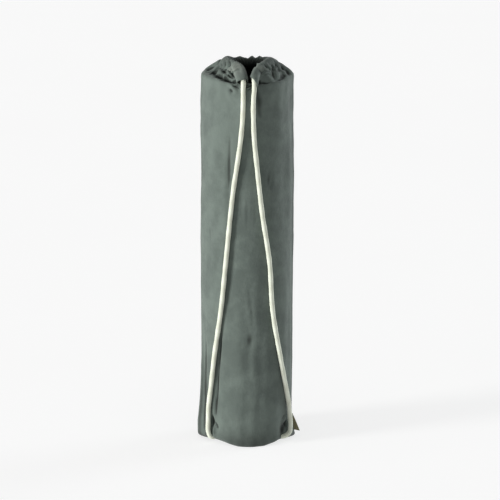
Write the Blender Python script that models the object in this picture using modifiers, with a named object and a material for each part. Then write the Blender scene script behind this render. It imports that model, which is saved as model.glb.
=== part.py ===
"""A drawstring yoga mat bag of cotton cloth, standing upright on its base.

The bag is a hollow cloth tube, gathered at the top into a ruffled drawstring casing. One cotton cord
runs round inside the casing, comes out of its two open ends at the front, and goes down the front of
the bag to the base seam on each side, where it serves as the shoulder straps. A small folded tag is
sewn into the right-hand side seam near the base.

Metres, +Z up. The origin is the centre of the base, on the floor, and the front of the bag faces -Y.
Angles called turn are degrees round the bag from the front, positive towards +X.
"""

import math
from bisect import bisect_left
from collections import namedtuple

import bmesh
import bpy
from mathutils import Vector

# Cloth tube
BAG_RADIUS = 0.078
SHOULDER_HEIGHT = 0.638
SHOULDER_DEPTH = 0.022
CLOTH_WALL = 0.0016
SEAM_TURN = 82.5
SEAM_RIDGE = 0.0012
SEAM_SPREAD = 3.6
PIECE_GAP = 0.0006

# Base
BASE_THICKNESS = 0.0020
BASE_HEM = 0.0015
BASE_ROLL = 0.004

# Cord
CORD_DIAMETER = 0.008
CHANNEL_PLAY = 0.0022
STRAIGHT_ABOVE = 0.060

# Drawstring casing
CASING_HALF_WIDTH = 0.0122
CASING_HALF_HEIGHT = 0.0124
CASING_RISE = 0.014
CASING_TAPER_TURN = 34.0
PLEAT_DEPTH = 0.0080
RUFFLE_DEPTH = 0.0036
SEAM_SWING_TURN = 30.0

# The front, where the cloth dips between the casing's two ends
FRONT_DIP = 0.008
FRONT_DIP_SPREAD = 42.0
NOTCH_REACH = 0.009
NOTCH_DROP = 0.004

# Tag
TAG_THICKNESS = 0.0014
TAG_FOOT = 0.010
TAG_HEIGHT = 0.028
TAG_REACH = 0.011

# Facets
COLUMNS = 96
CASING_SECTIONS = 60
CASING_SIDES = 10
SLANT_STEPS = 2
SHOULDER_STEPS = 8

# The middle of the casing's channel, from its right end, round the back, to its left end. across and
# depth are shares of BAG_RADIUS, and rise is a share of CASING_RISE above the shoulder.
Channel = namedtuple("Channel", "turn across depth rise")
CHANNEL = (
    Channel(9, 0.110, -0.73, 0.30),
    Channel(22, 0.175, -0.59, 0.68),
    Channel(38, 0.29, -0.45, 0.86),
    Channel(55, 0.41, -0.29, 0.96),
    Channel(75, 0.49, -0.08, 0.90),
    Channel(95, 0.49, 0.13, 0.76),
    Channel(120, 0.41, 0.32, 0.56),
    Channel(150, 0.24, 0.44, 0.44),
    Channel(180, 0.03, 0.48, 0.40),
    Channel(210, -0.17, 0.45, 0.44),
    Channel(240, -0.33, 0.33, 0.60),
    Channel(265, -0.42, 0.14, 0.82),
    Channel(285, -0.43, -0.06, 0.98),
    Channel(305, -0.36, -0.25, 1.06),
    Channel(322, -0.25, -0.41, 0.98),
    Channel(338, -0.145, -0.57, 0.72),
    Channel(351, -0.085, -0.73, 0.28),
)

# The gathers: each valley runs down from the casing. reach is how far it runs, from 0, which stays at
# the casing, to 1, which passes the shoulder. depth is a share of PLEAT_DEPTH.
Pleat = namedtuple("Pleat", "turn spread depth reach")
PLEATS = (
    Pleat(-168, 11, 0.9, 0.62),
    Pleat(-146, 10, 1.0, 0.50),
    Pleat(-126, 12, 0.9, 0.70),
    Pleat(-104, 10, 1.0, 0.55),
    Pleat(-84, 9, 0.8, 0.66),
    Pleat(-66, 10, 1.0, 0.86),
    Pleat(-47, 9, 1.0, 0.74),
    Pleat(-30, 8, 0.9, 0.92),
    Pleat(22, 8, 0.8, 0.78),
    Pleat(38, 9, 1.0, 0.60),
    Pleat(55, 10, 0.9, 0.80),
    Pleat(76, 11, 1.0, 0.56),
    Pleat(97, 10, 0.9, 0.72),
    Pleat(118, 11, 1.0, 0.58),
    Pleat(140, 12, 0.9, 0.68),
    Pleat(162, 11, 1.0, 0.52),
)

# The base's two front corners, which the cord's ends lift off the floor. width is how far the cloth
# slants in under the bag there, and height how far up, both as shares of BAG_RADIUS.
Corner = namedtuple("Corner", "turn spread width height")
CORNERS = (
    Corner(-50, 46, 0.31, 0.11),
    Corner(57, 44, 0.31, 0.11),
)

# How far the straps pull the tube's two sides out (or in) near the base, as shares of BAG_RADIUS.
# height is a share of SHOULDER_HEIGHT.
Pull = namedtuple("Pull", "height left right")
SIDE_PULL = (
    Pull(0.000, 0.045, 0.055),
    Pull(0.016, 0.070, 0.020),
    Pull(0.045, 0.076, -0.025),
    Pull(0.085, 0.050, -0.040),
    Pull(0.140, 0.020, -0.025),
    Pull(0.230, 0.000, 0.000),
    Pull(1.000, 0.000, 0.000),
)
PULL_SPREAD = 40.0

# Soft dents in the cloth. height and tall are shares of SHOULDER_HEIGHT, depth of BAG_RADIUS.
Dent = namedtuple("Dent", "turn spread height tall depth")
DENTS = (
    Dent(-41, 9, 0.10, 0.10, 0.030),
    Dent(44, 12, 0.03, 0.06, 0.050),
    Dent(14, 22, 0.52, 0.16, 0.022),
    Dent(-24, 16, 0.76, 0.14, 0.018),
    Dent(150, 26, 0.60, 0.22, 0.028),
    Dent(-140, 24, 0.34, 0.20, 0.026),
    Dent(110, 16, 0.22, 0.14, 0.024),
)

# The cord's own points on its free stretches, from the casing's ends down to the base seam.
STRAP_LEFT = (
    (-0.0070, -0.0670, 0.6395),
    (-0.0077, -0.0774, 0.6350),
    (-0.0082, -0.0820, 0.6245),
    (-0.0084, -0.0828, 0.6100),
    (-0.0086, -0.0823, 0.5720),
    (-0.0108, -0.0820, 0.5320),
    (-0.0168, -0.0810, 0.4920),
    (-0.0227, -0.0796, 0.4510),
    (-0.0273, -0.0780, 0.4100),
    (-0.0359, -0.0745, 0.3210),
    (-0.0440, -0.0702, 0.2390),
    (-0.0554, -0.0616, 0.1560),
    (-0.0615, -0.0552, 0.0990),
    (-0.0655, -0.0508, 0.0620),
    (-0.0661, -0.0506, 0.0360),
    (-0.0662, -0.0515, 0.0220),
    (-0.0650, -0.0521, 0.0120),
    (-0.0625, -0.0526, 0.0052),
)
STRAP_RIGHT = (
    (0.0098, -0.0670, 0.6398),
    (0.0104, -0.0772, 0.6350),
    (0.0103, -0.0819, 0.6245),
    (0.0100, -0.0827, 0.6100),
    (0.0106, -0.0822, 0.5720),
    (0.0124, -0.0819, 0.5320),
    (0.0164, -0.0812, 0.4920),
    (0.0253, -0.0788, 0.4100),
    (0.0380, -0.0735, 0.3210),
    (0.0431, -0.0706, 0.2390),
    (0.0561, -0.0608, 0.1560),
    (0.0660, -0.0490, 0.0980),
    (0.0714, -0.0398, 0.0680),
    (0.0733, -0.0365, 0.0400),
    (0.0728, -0.0405, 0.0220),
    (0.0702, -0.0452, 0.0115),
    (0.0645, -0.0515, 0.0055),
)

# Rows of the tube above the tag, as shares of the straight wall.
WALL_SHARES = (0.13, 0.22, 0.36, 0.54, 0.76, 1.0)


def bump(distance, spread):
    """1 at the middle, falling smoothly to 0 at spread."""
    if abs(distance) >= spread:
        return 0.0
    return 0.5 + 0.5 * math.cos(math.pi * distance / spread)


def turn_between(a, b):
    """The turn from b to a, in degrees, between -180 and 180."""
    return (a - b + 180) % 360 - 180


def hermite(before, low, high, after, share):
    """A smooth value between low and high, with slopes from the rows on both sides."""
    start = (high - before) / 2
    end = (after - low) / 2
    return (
        (2 * share**3 - 3 * share**2 + 1) * low
        + (share**3 - 2 * share**2 + share) * start
        + (3 * share**2 - 2 * share**3) * high
        + (share**3 - share**2) * end
    )


def at(turn, radius, height):
    """The point at this turn, distance from the axis and height."""
    angle = math.radians(turn)
    return Vector((radius * math.sin(angle), -radius * math.cos(angle), height))


def channel_point(turn):
    """The middle of the casing's channel at this turn, which stops at the casing's ends."""
    turn = min(max(turn % 360, CHANNEL[0].turn), CHANNEL[-1].turn)
    low = max(i for i in range(len(CHANNEL) - 1) if CHANNEL[i].turn <= turn)
    share = (turn - CHANNEL[low].turn) / (CHANNEL[low + 1].turn - CHANNEL[low].turn)
    rows = [CHANNEL[min(max(low + i, 0), len(CHANNEL) - 1)] for i in (-1, 0, 1, 2)]
    across, depth, rise = (
        hermite(*(getattr(row, column) for row in rows), share) for column in Channel._fields[1:]
    )
    return Vector((across * BAG_RADIUS, depth * BAG_RADIUS, SHOULDER_HEIGHT + rise * CASING_RISE))


def channel_frame(turn):
    """Two directions square to the channel: out, level and away from the mouth, and up."""
    along = (channel_point(turn + 1) - channel_point(turn - 1)).normalized()
    out = along.cross(Vector((0, 0, 1))).normalized()
    return out, out.cross(along)


def from_casing_end(turn):
    """How far this turn is past the nearer end of the casing, 0 at the notch."""
    return max(abs(turn_between(turn, 0)) - CHANNEL[0].turn, 0.0)


def gather(turn, reach):
    """How deep the gathers are at this turn, as a share of the deepest. reach is 0 at the casing."""
    total = 0.0
    for pleat in PLEATS:
        fade = min(max((pleat.reach - reach) / pleat.reach, 0.0), 1.0)
        total += pleat.depth * bump(turn_between(turn, pleat.turn), pleat.spread) * fade
    return total


def casing_halves(turn):
    """The casing's half width and half height at this turn, ruffled in step with the gathers."""
    full = min(from_casing_end(turn) / CASING_TAPER_TURN, 1.0)
    end = CORD_DIAMETER / 2 + CHANNEL_PLAY + CLOTH_WALL
    ruffle = RUFFLE_DEPTH * full * gather(turn, 0.0)
    half_width = end + (CASING_HALF_WIDTH - end) * full - ruffle
    half_height = end + (CASING_HALF_HEIGHT - end) * full - ruffle
    return half_width, half_height


def side_pull(turn, height):
    """How far the straps pull the tube out at its sides, at this turn and height."""
    share = min(height / SHOULDER_HEIGHT, 1.0)
    top = next(i for i in range(1, len(SIDE_PULL)) if SIDE_PULL[i].height >= share)
    low, high = SIDE_PULL[top - 1], SIDE_PULL[top]
    part = (share - low.height) / (high.height - low.height)
    left = low.left + part * (high.left - low.left)
    right = low.right + part * (high.right - low.right)
    on_left = bump(turn_between(turn, -SEAM_TURN), PULL_SPREAD)
    on_right = bump(turn_between(turn, SEAM_TURN), PULL_SPREAD)
    return BAG_RADIUS * (left * on_left + right * on_right)


def dent_depth(turn, height):
    """How far the dents press the cloth in at this turn and height."""
    share = height / SHOULDER_HEIGHT
    return BAG_RADIUS * sum(
        dent.depth * bump(turn_between(turn, dent.turn), dent.spread) * bump(share - dent.height, dent.tall)
        for dent in DENTS
    )


def wall_radius(turn, height):
    """The tube's outside radius, with the dents and the ridges of its two side seams."""
    ridge = SEAM_RIDGE * sum(bump(turn_between(turn, side * SEAM_TURN), SEAM_SPREAD) for side in (-1, 1))
    return BAG_RADIUS + side_pull(turn, height) - dent_depth(turn, height) + ridge


def base_slant(turn):
    """How far the cloth goes in under the bag and up from the floor, past its lifted corners."""
    width = BASE_ROLL
    height = BASE_ROLL
    for corner in CORNERS:
        beside = BAG_RADIUS * bump(turn_between(turn, corner.turn), corner.spread)
        width += corner.width * beside
        height += corner.height * beside
    return width, height


def base_edge_radius(turn):
    """Where the tube's cloth meets the base panel, past a narrow flat hem."""
    return wall_radius(turn, 0.0) - base_slant(turn)[0] - BASE_HEM


def seam_swing(turn):
    """The angle by which the cloth's seam moves under the casing: 0 at its outer side."""
    return math.pi / 2 * bump(from_casing_end(turn), SEAM_SWING_TURN)


def mouth_seam(turn):
    """Where the gathered cloth meets the casing: at its outer side, and under it near its ends."""
    out, up = channel_frame(turn)
    half_width, half_height = casing_halves(turn)
    swing = seam_swing(turn)
    beside = out * math.cos(swing) * (half_width + PIECE_GAP)
    return channel_point(turn) + beside - up * math.sin(swing) * (half_height + PIECE_GAP)


def mouth_edge(turn):
    """The cloth's upper edge, along the casing and across the notch between the casing's ends."""
    end = CHANNEL[0].turn
    offset = turn_between(turn, 0)
    if abs(offset) >= end:
        return mouth_seam(turn)
    across = mouth_seam(-end).lerp(mouth_seam(end), (offset + end) / (2 * end))
    return across + Vector((0, -NOTCH_REACH, -NOTCH_DROP)) * bump(offset, end)


def shoulder_point(turn, step):
    """A point on the cloth between the straight tube, at step 0, and the casing, at step 1."""
    start = SHOULDER_HEIGHT - SHOULDER_DEPTH
    crest = SHOULDER_HEIGHT - FRONT_DIP * bump(turn_between(turn, 0), FRONT_DIP_SPREAD)
    edge = mouth_edge(turn)
    wall = at(turn, wall_radius(turn, start), start)
    corner = Vector((wall.x, wall.y, crest + 0.15 * SHOULDER_DEPTH))
    inner = wall.lerp(edge, 0.42)
    inner.z = 0.5 * (crest + edge.z) + 0.15 * SHOULDER_DEPTH * math.cos(seam_swing(turn))
    points = (wall, corner, inner, edge)
    rest = 1 - step
    weights = (rest**3, 3 * rest**2 * step, 3 * rest * step**2, step**3)
    slopes = (-3 * rest**2, 3 * rest**2 - 6 * rest * step, 6 * rest * step - 3 * step**2, 3 * step**2)
    place = sum((w * p for w, p in zip(weights, points)), Vector())
    run = sum((s * p for s, p in zip(slopes, points)), Vector())
    normal = (at(turn, 1.0, 0.0) * run.z + Vector((0, 0, math.hypot(run.x, run.y)))).normalized()
    swell = 1 - 0.55 * step**2
    return place - normal * PLEAT_DEPTH * swell * gather(turn, 1 - step)


def wall_shares():
    """Rows of the straight wall as shares of it, with one at the tag's foot and one at its top."""
    low = base_slant(SEAM_TURN)[1]
    straight = SHOULDER_HEIGHT - SHOULDER_DEPTH - low
    beside_tag = [(height - low) / straight for height in (TAG_FOOT, TAG_FOOT + TAG_HEIGHT)]
    return beside_tag + list(WALL_SHARES)


def tube_rows(turn):
    """The points of the tube's cloth at this turn, from the base seam up to the casing."""
    width, low = base_slant(turn)
    points = [at(turn, base_edge_radius(turn), 0.0)]
    for i in range(SLANT_STEPS + 1):
        share = i / SLANT_STEPS
        height = low * share**1.5
        points.append(at(turn, wall_radius(turn, height) - width * (1 - share), height))
    start = SHOULDER_HEIGHT - SHOULDER_DEPTH
    for share in wall_shares():
        height = low + share * (start - low)
        points.append(at(turn, wall_radius(turn, height), height))
    points += [shoulder_point(turn, (i + 1) / SHOULDER_STEPS) for i in range(SHOULDER_STEPS)]
    return points


def material(name, colour, roughness):
    """A Principled material of one colour."""
    made = bpy.data.materials.new(name)
    made.use_nodes = True
    shader = made.node_tree.nodes["Principled BSDF"]
    shader.inputs["Base Color"].default_value = (*colour, 1)
    shader.inputs["Roughness"].default_value = roughness
    shader.inputs["Metallic"].default_value = 0.0
    return made


def add(name, data, finish, collection):
    """A named object in the bag's collection, with its material."""
    made = bpy.data.objects.new(name, data)
    data.materials.append(finish)
    collection.objects.link(made)
    return made


def loft(name, sections, round_section, round_along):
    """A sheet of cloth through the sections, lists of points of equal length."""
    shape = bmesh.new()
    rows = [[shape.verts.new(point) for point in section] for section in sections]
    count = len(rows[0])
    for i in range(len(rows) if round_along else len(rows) - 1):
        here, there = rows[i], rows[(i + 1) % len(rows)]
        for j in range(count if round_section else count - 1):
            k = (j + 1) % count
            shape.faces.new((here[j], there[j], there[k], here[k]))
    mesh = bpy.data.meshes.new(name)
    shape.to_mesh(mesh)
    shape.free()
    mesh.shade_smooth()
    return mesh


def thicken(cloth):
    """Gives a sheet its wall, on its inner side."""
    wall = cloth.modifiers.new("wall", "SOLIDIFY")
    wall.thickness = CLOTH_WALL
    wall.offset = -1.0


def flat_outline(name, corners, thickness, finish, collection):
    """A flat piece: the outline in its own XY plane, half its thickness to each side."""
    outline = bpy.data.curves.new(name, "CURVE")
    outline.dimensions = "2D"
    outline.fill_mode = "BOTH"
    outline.extrude = thickness / 2
    spline = outline.splines.new("POLY")
    spline.points.add(len(corners) - 1)
    for point, (x, y) in zip(spline.points, corners):
        point.co = (x, y, 0, 1)
    spline.use_cyclic_u = True
    return add(name, outline, finish, collection)


def make_tube(finish, collection):
    """The bag's cloth tube, one sheet from the base seam to the casing."""
    columns = [tube_rows(360 * i / COLUMNS) for i in range(COLUMNS)]
    thicken(add("cloth_tube", loft("cloth_tube", columns, False, True), finish, collection))


def make_base(finish, collection):
    """The base panel, a flat outline inside the tube's lower edge."""
    turns = [360 * i / COLUMNS for i in range(COLUMNS)]
    corners = [at(turn, base_edge_radius(turn) - PIECE_GAP, 0.0).xy for turn in turns]
    base = flat_outline("base_panel", corners, BASE_THICKNESS, finish, collection)
    base.location.z = BASE_THICKNESS / 2


def casing_turns():
    """The turns of the casing's sections, from its right end round the back to its left end."""
    start, end = CHANNEL[0].turn, CHANNEL[-1].turn
    return [start + (end - start) * i / (CASING_SECTIONS - 1) for i in range(CASING_SECTIONS)]


def casing_section(turn):
    """A ring of points round the channel."""
    out, up = channel_frame(turn)
    half_width, half_height = casing_halves(turn)
    angles = [2 * math.pi * i / CASING_SIDES for i in range(CASING_SIDES)]
    middle = channel_point(turn)
    return [middle + out * math.cos(a) * half_width + up * math.sin(a) * half_height for a in angles]


def make_casing(finish, collection):
    """The drawstring casing, a ruffled tube of cloth that is open at both ends."""
    sections = [casing_section(turn) for turn in casing_turns()]
    thicken(add("drawstring_casing", loft("casing", sections, True, False), finish, collection))


def smooth_line(points, per_span=40):
    """Many points on a smooth curve through the given ones."""
    fine = []
    for i in range(len(points) - 1):
        before = points[max(i - 1, 0)]
        after = points[min(i + 2, len(points) - 1)]
        fine += [hermite(before, points[i], points[i + 1], after, j / per_span) for j in range(per_span)]
    return fine + [points[-1]]


def cord_line():
    """The cord's middle, from base seam to base seam, with its points closer together in the bends."""
    hidden = [channel_point(turn) for turn in reversed(casing_turns()[:: CASING_SECTIONS // 20])]
    left = [Vector(point) for point in reversed(STRAP_LEFT)]
    right = [Vector(point) for point in STRAP_RIGHT]
    fine = smooth_line(left + [channel_point(CHANNEL[-1].turn)] + hidden + right)
    counts = [0.0]
    for a, b in zip(fine, fine[1:]):
        straight = STRAIGHT_ABOVE < b.z < SHOULDER_HEIGHT - 2 * SHOULDER_DEPTH
        counts.append(counts[-1] + (b - a).length / CORD_DIAMETER / (3 if straight else 2))
    steps = round(counts[-1])
    return [fine[bisect_left(counts, counts[-1] * i / steps)] for i in range(steps)] + [fine[-1]]


def make_cord(finish, collection):
    """The cotton cord, one length from base seam to base seam."""
    line = cord_line()
    path = bpy.data.curves.new("cord", "CURVE")
    path.dimensions = "3D"
    path.bevel_depth = CORD_DIAMETER / 2
    path.bevel_resolution = 2
    path.use_fill_caps = True
    spline = path.splines.new("POLY")
    spline.points.add(len(line) - 1)
    for point, place in zip(spline.points, line):
        point.co = (*place, 1)
    add("drawcord", path, finish, collection)


def make_tag(finish, collection):
    """The folded tag, standing out of the right-hand side seam in the plane of the seam."""
    top = TAG_FOOT + TAG_HEIGHT
    foot_radius, top_radius = (wall_radius(SEAM_TURN, height) + PIECE_GAP for height in (TAG_FOOT, top))
    corners = (
        (foot_radius, TAG_FOOT),
        (foot_radius + TAG_REACH, TAG_FOOT + 0.14 * TAG_HEIGHT),
        (top_radius + 0.12 * TAG_REACH, top),
        (top_radius, top),
    )
    tag = flat_outline("side_tag", corners, TAG_THICKNESS, finish, collection)
    tag.rotation_euler = (math.pi / 2, 0, math.radians(SEAM_TURN) - math.pi / 2)


def main():
    for old in list(bpy.data.objects):
        bpy.data.objects.remove(old, do_unlink=True)
    collection = bpy.data.collections.new("yoga_mat_bag")
    bpy.context.scene.collection.children.link(collection)
    cloth = material("grey_green_cotton", (0.150, 0.180, 0.162), 0.78)
    cotton = material("natural_cotton_cord", (0.760, 0.770, 0.660), 0.85)
    tape = material("olive_tape", (0.110, 0.105, 0.070), 0.85)
    make_tube(cloth, collection)
    make_base(cloth, collection)
    make_casing(cloth, collection)
    make_cord(cotton, collection)
    make_tag(tape, collection)


main()
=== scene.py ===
import math
import bpy
import numpy as np
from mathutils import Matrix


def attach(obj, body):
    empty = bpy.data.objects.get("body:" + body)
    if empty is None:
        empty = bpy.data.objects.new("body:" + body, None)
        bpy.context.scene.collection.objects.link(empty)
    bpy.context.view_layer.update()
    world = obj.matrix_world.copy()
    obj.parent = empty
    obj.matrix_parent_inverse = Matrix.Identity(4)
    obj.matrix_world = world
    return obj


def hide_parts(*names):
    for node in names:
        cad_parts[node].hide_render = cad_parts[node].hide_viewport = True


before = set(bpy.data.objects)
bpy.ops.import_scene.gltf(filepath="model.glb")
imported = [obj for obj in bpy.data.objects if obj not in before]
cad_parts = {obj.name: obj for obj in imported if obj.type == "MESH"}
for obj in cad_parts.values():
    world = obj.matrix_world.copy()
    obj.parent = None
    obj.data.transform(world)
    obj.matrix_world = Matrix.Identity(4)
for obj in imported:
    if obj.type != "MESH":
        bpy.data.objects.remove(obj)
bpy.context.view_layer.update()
print("frame loaded")

# Everything is in metres. A turn is an angle in degrees round the bag from the front, positive towards +X.


# curves and smooth noise, all on whole arrays
def bump(distance, spread):
    # half a cosine wave: 1 in the middle, 0 from spread outwards
    return 0.5 + 0.5 * np.cos(np.pi * np.clip(np.abs(distance) / spread, 0, 1))


def fade(low, high, value):
    # a smooth cubic step from 0 at low to 1 at high
    share = np.clip((value - low) / (high - low), 0, 1)
    return share * share * (3 - 2 * share)


def wrapTurn(turn):
    # the same turn between -180 and 180
    return (turn + 180) % 360 - 180


def through(knots, rows, at):
    # a cubic through the rows at their knots, with slopes taken from the rows on both sides
    knots, rows = np.asarray(knots, float), np.asarray(rows, float)
    slopes = np.gradient(rows, knots, axis=0)
    low = np.clip(np.searchsorted(knots, at, side="right") - 1, 0, len(knots) - 2)
    step = knots[low + 1] - knots[low]
    t = (np.asarray(at) - knots[low]) / step
    if rows.ndim > 1:
        step, t = step[..., None], t[..., None]
    value = (2 * t**3 - 3 * t**2 + 1) * rows[low] + (3 * t**2 - 2 * t**3) * rows[low + 1]
    return value + step * ((t**3 - 2 * t**2 + t) * slopes[low] + (t**3 - t**2) * slopes[low + 1])


def fromTable(table, at):
    # a table's columns on a cubic through its rows, whose first column says where they are
    rows = np.array(table, float)
    return through(rows[:, 0], rows[:, 1:], at)


def unit(vectors):
    # each vector over its own length
    return vectors / np.maximum(np.linalg.norm(vectors, axis=-1, keepdims=True), 1e-12)


def atTurn(turn, radius, height):
    # cylinder coordinates to x, y, z: turn 0 is the front, -Y
    angle = np.radians(turn)
    return np.stack(np.broadcast_arrays(radius * np.sin(angle), -radius * np.cos(angle), height), axis=-1)


def ripples(turn, height, seed, waves, roundRange, longRange):
    # a sum of cosine waves with whole numbers of waves round the bag, so it closes on itself
    dice = np.random.default_rng(seed)
    total = np.zeros(np.broadcast(turn, height).shape)
    for _ in range(waves):
        around = dice.integers(roundRange[0], roundRange[1] + 1) * dice.choice([-1, 1])
        along = 2 * np.pi / dice.uniform(*longRange)
        total += np.cos(np.radians(turn) * around + height * along + dice.uniform(0, 2 * np.pi))
    return total / math.sqrt(waves / 2)


def segmentBell(x, y, ends, width):
    # a bell across a straight crease between two points, which dies away at both its ends
    alongX, alongY = ends[2] - ends[0], ends[3] - ends[1]
    share = np.clip(((x - ends[0]) * alongX + (y - ends[1]) * alongY) / (alongX**2 + alongY**2), 0, 1)
    away = np.hypot(x - ends[0] - share * alongX, y - ends[1] - share * alongY)
    return np.exp(-((away / width) ** 2)) * bump(share - 0.5, 0.64)


def finer(grid, times):
    # a closed grid with times as many rows and columns, each on a cubic through its neighbours
    rows, columns = grid.shape[:2]
    grid = through(np.arange(rows), grid.reshape(rows, -1), np.linspace(0, rows - 1, (rows - 1) * times + 1))
    grid = grid.reshape(-1, columns, 3).transpose(1, 0, 2)
    grid = np.concatenate([grid[-3:], grid, grid[:4]])
    at = 3 + np.arange(columns * times) / times
    flat = through(np.arange(len(grid)), grid.reshape(len(grid), -1), at)
    return flat.reshape(len(at), -1, 3).transpose(1, 0, 2)


# meshes
def gridFaces(rows, columns, closed):
    # the quads of a grid, facing out where rows go up and columns go round towards +X
    i, j = np.meshgrid(np.arange(rows - 1), np.arange(columns if closed else columns - 1), indexing="ij")
    k = (j + 1) % columns
    quads = np.stack([i * columns + j, i * columns + k, (i + 1) * columns + k, (i + 1) * columns + j], axis=-1)
    return quads.reshape(-1, 4)


def gridNormals(grid):
    # unit normals of a grid that is closed round: its step round crossed with its step up
    return unit(np.cross(np.roll(grid, -1, axis=1) - np.roll(grid, 1, axis=1), np.gradient(grid, axis=0)))


def meshFrom(name, points, *blocks):
    # the faces come in blocks, an array of quads or of triangles each
    mesh = bpy.data.meshes.new(name)
    mesh.from_pydata(points.reshape(-1, 3).tolist(), [], sum((block.tolist() for block in blocks), []))
    mesh.update()
    mesh.shade_smooth()
    piece = bpy.data.objects.new(name, mesh)
    bpy.context.scene.collection.objects.link(piece)
    return piece


def uvFrom(piece, across, along):
    # a UV map in metres of cloth, one pair for each vertex
    mesh = piece.data
    layer = mesh.uv_layers.new(name="cloth")
    corner = np.empty(len(mesh.loops), dtype=np.int32)
    mesh.loops.foreach_get("vertex_index", corner)
    pairs = np.stack([across.ravel(), along.ravel()], axis=-1)[corner]
    layer.data.foreach_set("uv", pairs.astype(np.float32).ravel())


def addValue(piece, name, values):
    # one number for each vertex, which the material reads by its name
    layer = piece.data.attributes.new(name, "FLOAT", "POINT")
    layer.data.foreach_set("value", values.ravel().astype(np.float32))


def setAll(target, values):
    # a dictionary of settings, written on one of Blender's own blocks
    for key, value in values.items():
        setattr(target, key, value)


def wall(piece, thickness):
    # a cloth wall on the inner side of the sheet
    solid = piece.modifiers.new("wall", "SOLIDIFY")
    solid.thickness = thickness
    solid.offset = -1.0


# a long lens a little above the bag
photo = {
    "distance": 9.0, "elevation": 14.0, "frameWidth": 0.848, "targetX": 0.005, "targetZ": 0.3256, "sensor": 36.0,
}


def setCamera():
    # the lens that shows frameWidth at the bag's distance
    lens = bpy.data.cameras.new("camera")
    lens.sensor_width = photo["sensor"]
    lens.lens = photo["sensor"] * photo["distance"] / photo["frameWidth"]
    lens.clip_end = 100.0
    camera = bpy.data.objects.new("camera", lens)
    bpy.context.scene.collection.objects.link(camera)
    tilt = math.radians(photo["elevation"])
    camera.location = (
        photo["targetX"],
        -photo["distance"] * math.cos(tilt),
        photo["targetZ"] + photo["distance"] * math.sin(tilt),
    )
    camera.rotation_euler = (math.pi / 2 - tilt, 0, 0)
    bpy.context.scene.camera = camera


setCamera()
print("camera set")


# the line that the cord and its casing follow, from the right end round the back to the left
mouth = {
    # turn, x, y, z; the first and last rows reach out over the front shoulder
    "line": [
        (3, 0.0114, -0.0772, 0.6334), (6, 0.0116, -0.069, 0.6388), (9, 0.013, -0.059, 0.6424),
        (22, 0.0178, -0.047, 0.6482), (38, 0.025, -0.0352, 0.6512), (55, 0.0328, -0.0226, 0.6528),
        (75, 0.0386, -0.0062, 0.6524), (95, 0.0386, 0.0101, 0.6496), (120, 0.0322, 0.025, 0.6456),
        (150, 0.0187, 0.0343, 0.6428), (180, 0.0023, 0.0374, 0.642), (210, -0.0133, 0.0351, 0.6428),
        (240, -0.0257, 0.0257, 0.6454), (265, -0.0328, 0.0109, 0.6492), (285, -0.0335, -0.0047, 0.6517),
        (305, -0.0281, -0.0195, 0.6528), (322, -0.0195, -0.032, 0.6517), (338, -0.0113, -0.0445, 0.6481),
        (351, -0.0074, -0.0585, 0.6422), (354, -0.0062, -0.0686, 0.6388), (357, -0.0056, -0.0772, 0.6334),
    ],
    "endTurn": 3.0,
    "middle": (0.003, 0.0, 0.64),
}


def mouthLine(turn):
    # a cubic through the line's rows, held at its two ends
    return fromTable(mouth["line"], np.clip(turn % 360, mouth["endTurn"], 360 - mouth["endTurn"]))


def mouthAxes(turn):
    # out, level and away from the mouth, and up, both square to the mouth's line
    along = unit(mouthLine(np.minimum(turn % 360 + 1, 356.9)) - mouthLine(np.maximum(turn % 360 - 1, 3.1)))
    out = unit(np.cross(along, (0, 0, 1)))
    return out, np.cross(out, along)


# one soft cotton rope from base seam to base seam
cord = {
    "diameter": 0.008,
    # points of the straps, from base seam to casing on the left and from casing to base seam on the right
    "leftStrap": [
        (-0.054, -0.044, 0.0095), (-0.0588, -0.0478, 0.0098), (-0.063, -0.0506, 0.0125), (-0.0658, -0.0516, 0.02),
        (-0.0661, -0.0506, 0.036), (-0.0655, -0.0508, 0.062), (-0.0615, -0.0552, 0.099), (-0.0554, -0.0616, 0.156),
        (-0.044, -0.0702, 0.239), (-0.0359, -0.0745, 0.321), (-0.0273, -0.078, 0.41), (-0.0227, -0.0796, 0.451),
        (-0.0166, -0.081, 0.492), (-0.011, -0.082, 0.532), (-0.0074, -0.0823, 0.572), (-0.0064, -0.0828, 0.61),
        (-0.0064, -0.0826, 0.623), (-0.006, -0.0785, 0.633), (-0.0062, -0.069, 0.6388),
    ],
    "rightStrap": [
        (0.0116, -0.0688, 0.639), (0.0122, -0.0783, 0.633), (0.0122, -0.0826, 0.6225), (0.011, -0.0827, 0.608),
        (0.0107, -0.0822, 0.572), (0.0124, -0.0819, 0.532), (0.0164, -0.0812, 0.492), (0.0253, -0.0788, 0.41),
        (0.038, -0.0735, 0.321), (0.0431, -0.0706, 0.239), (0.0561, -0.0608, 0.156), (0.066, -0.049, 0.098),
        (0.0708, -0.0404, 0.068), (0.0731, -0.0372, 0.042), (0.0739, -0.0384, 0.027), (0.0724, -0.0418, 0.0175),
        (0.0688, -0.044, 0.0134), (0.0642, -0.0454, 0.011), (0.059, -0.0436, 0.0092),
    ],
    # where the stretch inside the casing follows the mouth's line
    "hiddenTurns": [351, 338, 322, 305, 285, 265, 240, 210, 180, 150, 120, 95, 75, 55, 38, 22, 9],
    "step": 0.0011,
    "sides": 28,
    "strands": 8,
    "braidPitch": 0.017,
    "braidDepth": 0.00042,
    # thicker and thinner stretches: height, wavelength, start
    "unevenness": [(0.00012, 0.043, 1.3), (0.0001, 0.029, 0.0)],
}


def runLengths(points):
    # how far along the line each of its points lies
    return np.concatenate([[0], np.cumsum(np.linalg.norm(np.diff(points, axis=0), axis=1))])


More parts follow.
